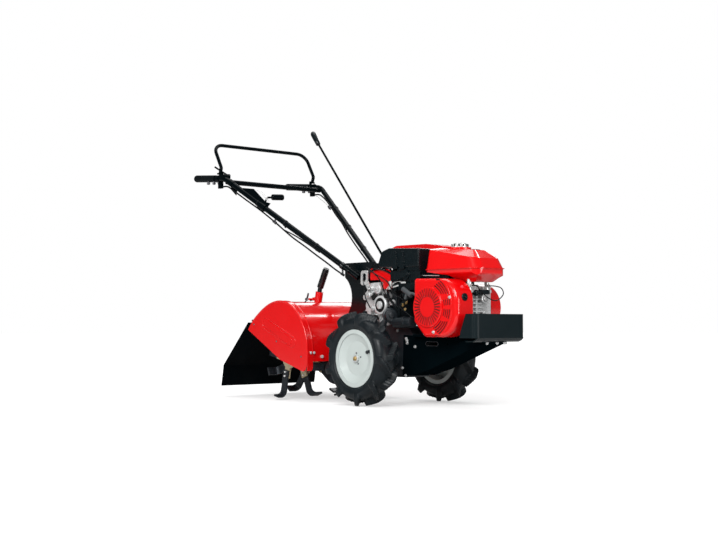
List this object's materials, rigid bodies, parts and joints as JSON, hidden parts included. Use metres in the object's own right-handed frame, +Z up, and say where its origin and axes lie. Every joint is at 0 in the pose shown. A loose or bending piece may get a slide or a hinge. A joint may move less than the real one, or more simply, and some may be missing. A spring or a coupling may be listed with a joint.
{
  "type": "rear-tine tiller",
  "caption": "Walk-behind rear-tine tiller: two lugged wheels, front engine, hooded reel of L-shaped tines, rear flap, handlebar with bail.",
  "frame": {"origin": "on the ground under the middle of the overall length, on the centre plane", "axes": "+X forward (the engine end), +Y to the machine's left, +Z up"},
  "size_m": [1.6956, 0.5838, 1.1961],
  "materials": {
    "tyre": "matte",
    "rim": "gloss",
    "hub": "gloss",
    "casting_dark": "painted grey casting",
    "casting": "as cast",
    "black": "gloss",
    "red": "gloss",
    "tine_steel": "black forged steel",
    "grey_plastic": "matte",
    "black_plastic": "satin",
    "pulley": "machined",
    "bright_metal": "zinc plated",
    "dark_steel": "dark",
    "flap_rubber": "satin",
    "cable_black": "satin sheath",
    "zinc_cream": "yellow zinc plated",
    "grip_rubber": "matte"
  },
  "bodies": {
    "frame": {"axle_housings": "casting_dark", "frame_plates": "black", "hood_ends": "red", "gearbox_case": "casting_dark", "gear_head": "casting_dark", "head_cover": "casting", "link_plate": "bright_metal", "engine_shroud": "black_plastic", "cable_bracket": "red", "carburettor": "black_plastic", "ignition_lead": "cable_black", "depth_clamp": "red", "tank_posts": "bright_metal", "chain_case": "casting_dark", "frame_apron": "black", "engine_bed": "black", "bumper": "black", "bumper_bracket": "black", "crankcase": "casting", "cylinder": "casting_dark", "fan_cover": "red", "recoil_housing": "red", "pull_grip": "grey_plastic", "belt_cover": "red", "belt_bracket": "black", "pulleys": "pulley", "fuel_tank": "red", "tank_cap": "bright_metal", "air_cleaner": "black_plastic", "muffler": "dark_steel", "muffler_guard": "red", "hood_sheet": "red", "hood_stays": "black", "flap_pin": "dark_steel", "depth_lever": "black", "handle_column": "black", "shift_lever": "black", "shift_knob": "black_plastic"},
    "wheel_left": {"tyre_left": "tyre", "rim_left": "rim", "hub_left": "hub"},
    "wheel_right": {"tyre_right": "tyre", "rim_right": "rim", "hub_right": "hub"},
    "tine_reel": {"reel_shaft": "dark_steel", "tines_left": "tine_steel", "tines_right": "tine_steel", "tine_holders_left": "zinc_cream", "tine_holders_right": "zinc_cream"},
    "rear_flap": {"flap": "flap_rubber"},
    "handlebar": {"handle_tubes": "black", "cross_bar": "black", "grips": "grip_rubber", "bail_clamps": "black", "hand_controls": "black", "ferrules": "black", "control_cables": "cable_black"},
    "bail_lever": {"bail": "black"}
  },
  "joints": [
    {"name": "wheel_left_spin", "type": "hinge", "parent": "frame", "child": "wheel_left", "pos_m": [0.302, 0.227, 0.19], "axis": [0, 1, 0], "continuous": true},
    {"name": "wheel_right_spin", "type": "hinge", "parent": "frame", "child": "wheel_right", "pos_m": [0.302, -0.227, 0.19], "axis": [0, 1, 0], "continuous": true},
    {"name": "tine_reel_spin", "type": "hinge", "parent": "frame", "child": "tine_reel", "pos_m": [-0.198, 0, 0.177], "axis": [0, 1, 0], "continuous": true},
    {"name": "rear_flap_lift", "type": "hinge", "parent": "frame", "child": "rear_flap", "pos_m": [-0.406, 0, 0.342], "axis": [0, 1, 0], "range_deg": [0, 65]},
    {"name": "handlebar_height", "type": "hinge", "parent": "frame", "child": "handlebar", "pos_m": [0.066, 0, 0.549], "axis": [0, 1, 0], "range_deg": [-8, 12]},
    {"name": "bail_press", "type": "hinge", "parent": "handlebar", "child": "bail_lever", "pos_m": [-0.642, 0, 1.014], "axis": [0, -1, 0], "range_deg": [0, 48], "stiffness_Nm_per_rad": 2, "springref_deg": -28.65}
  ]
}
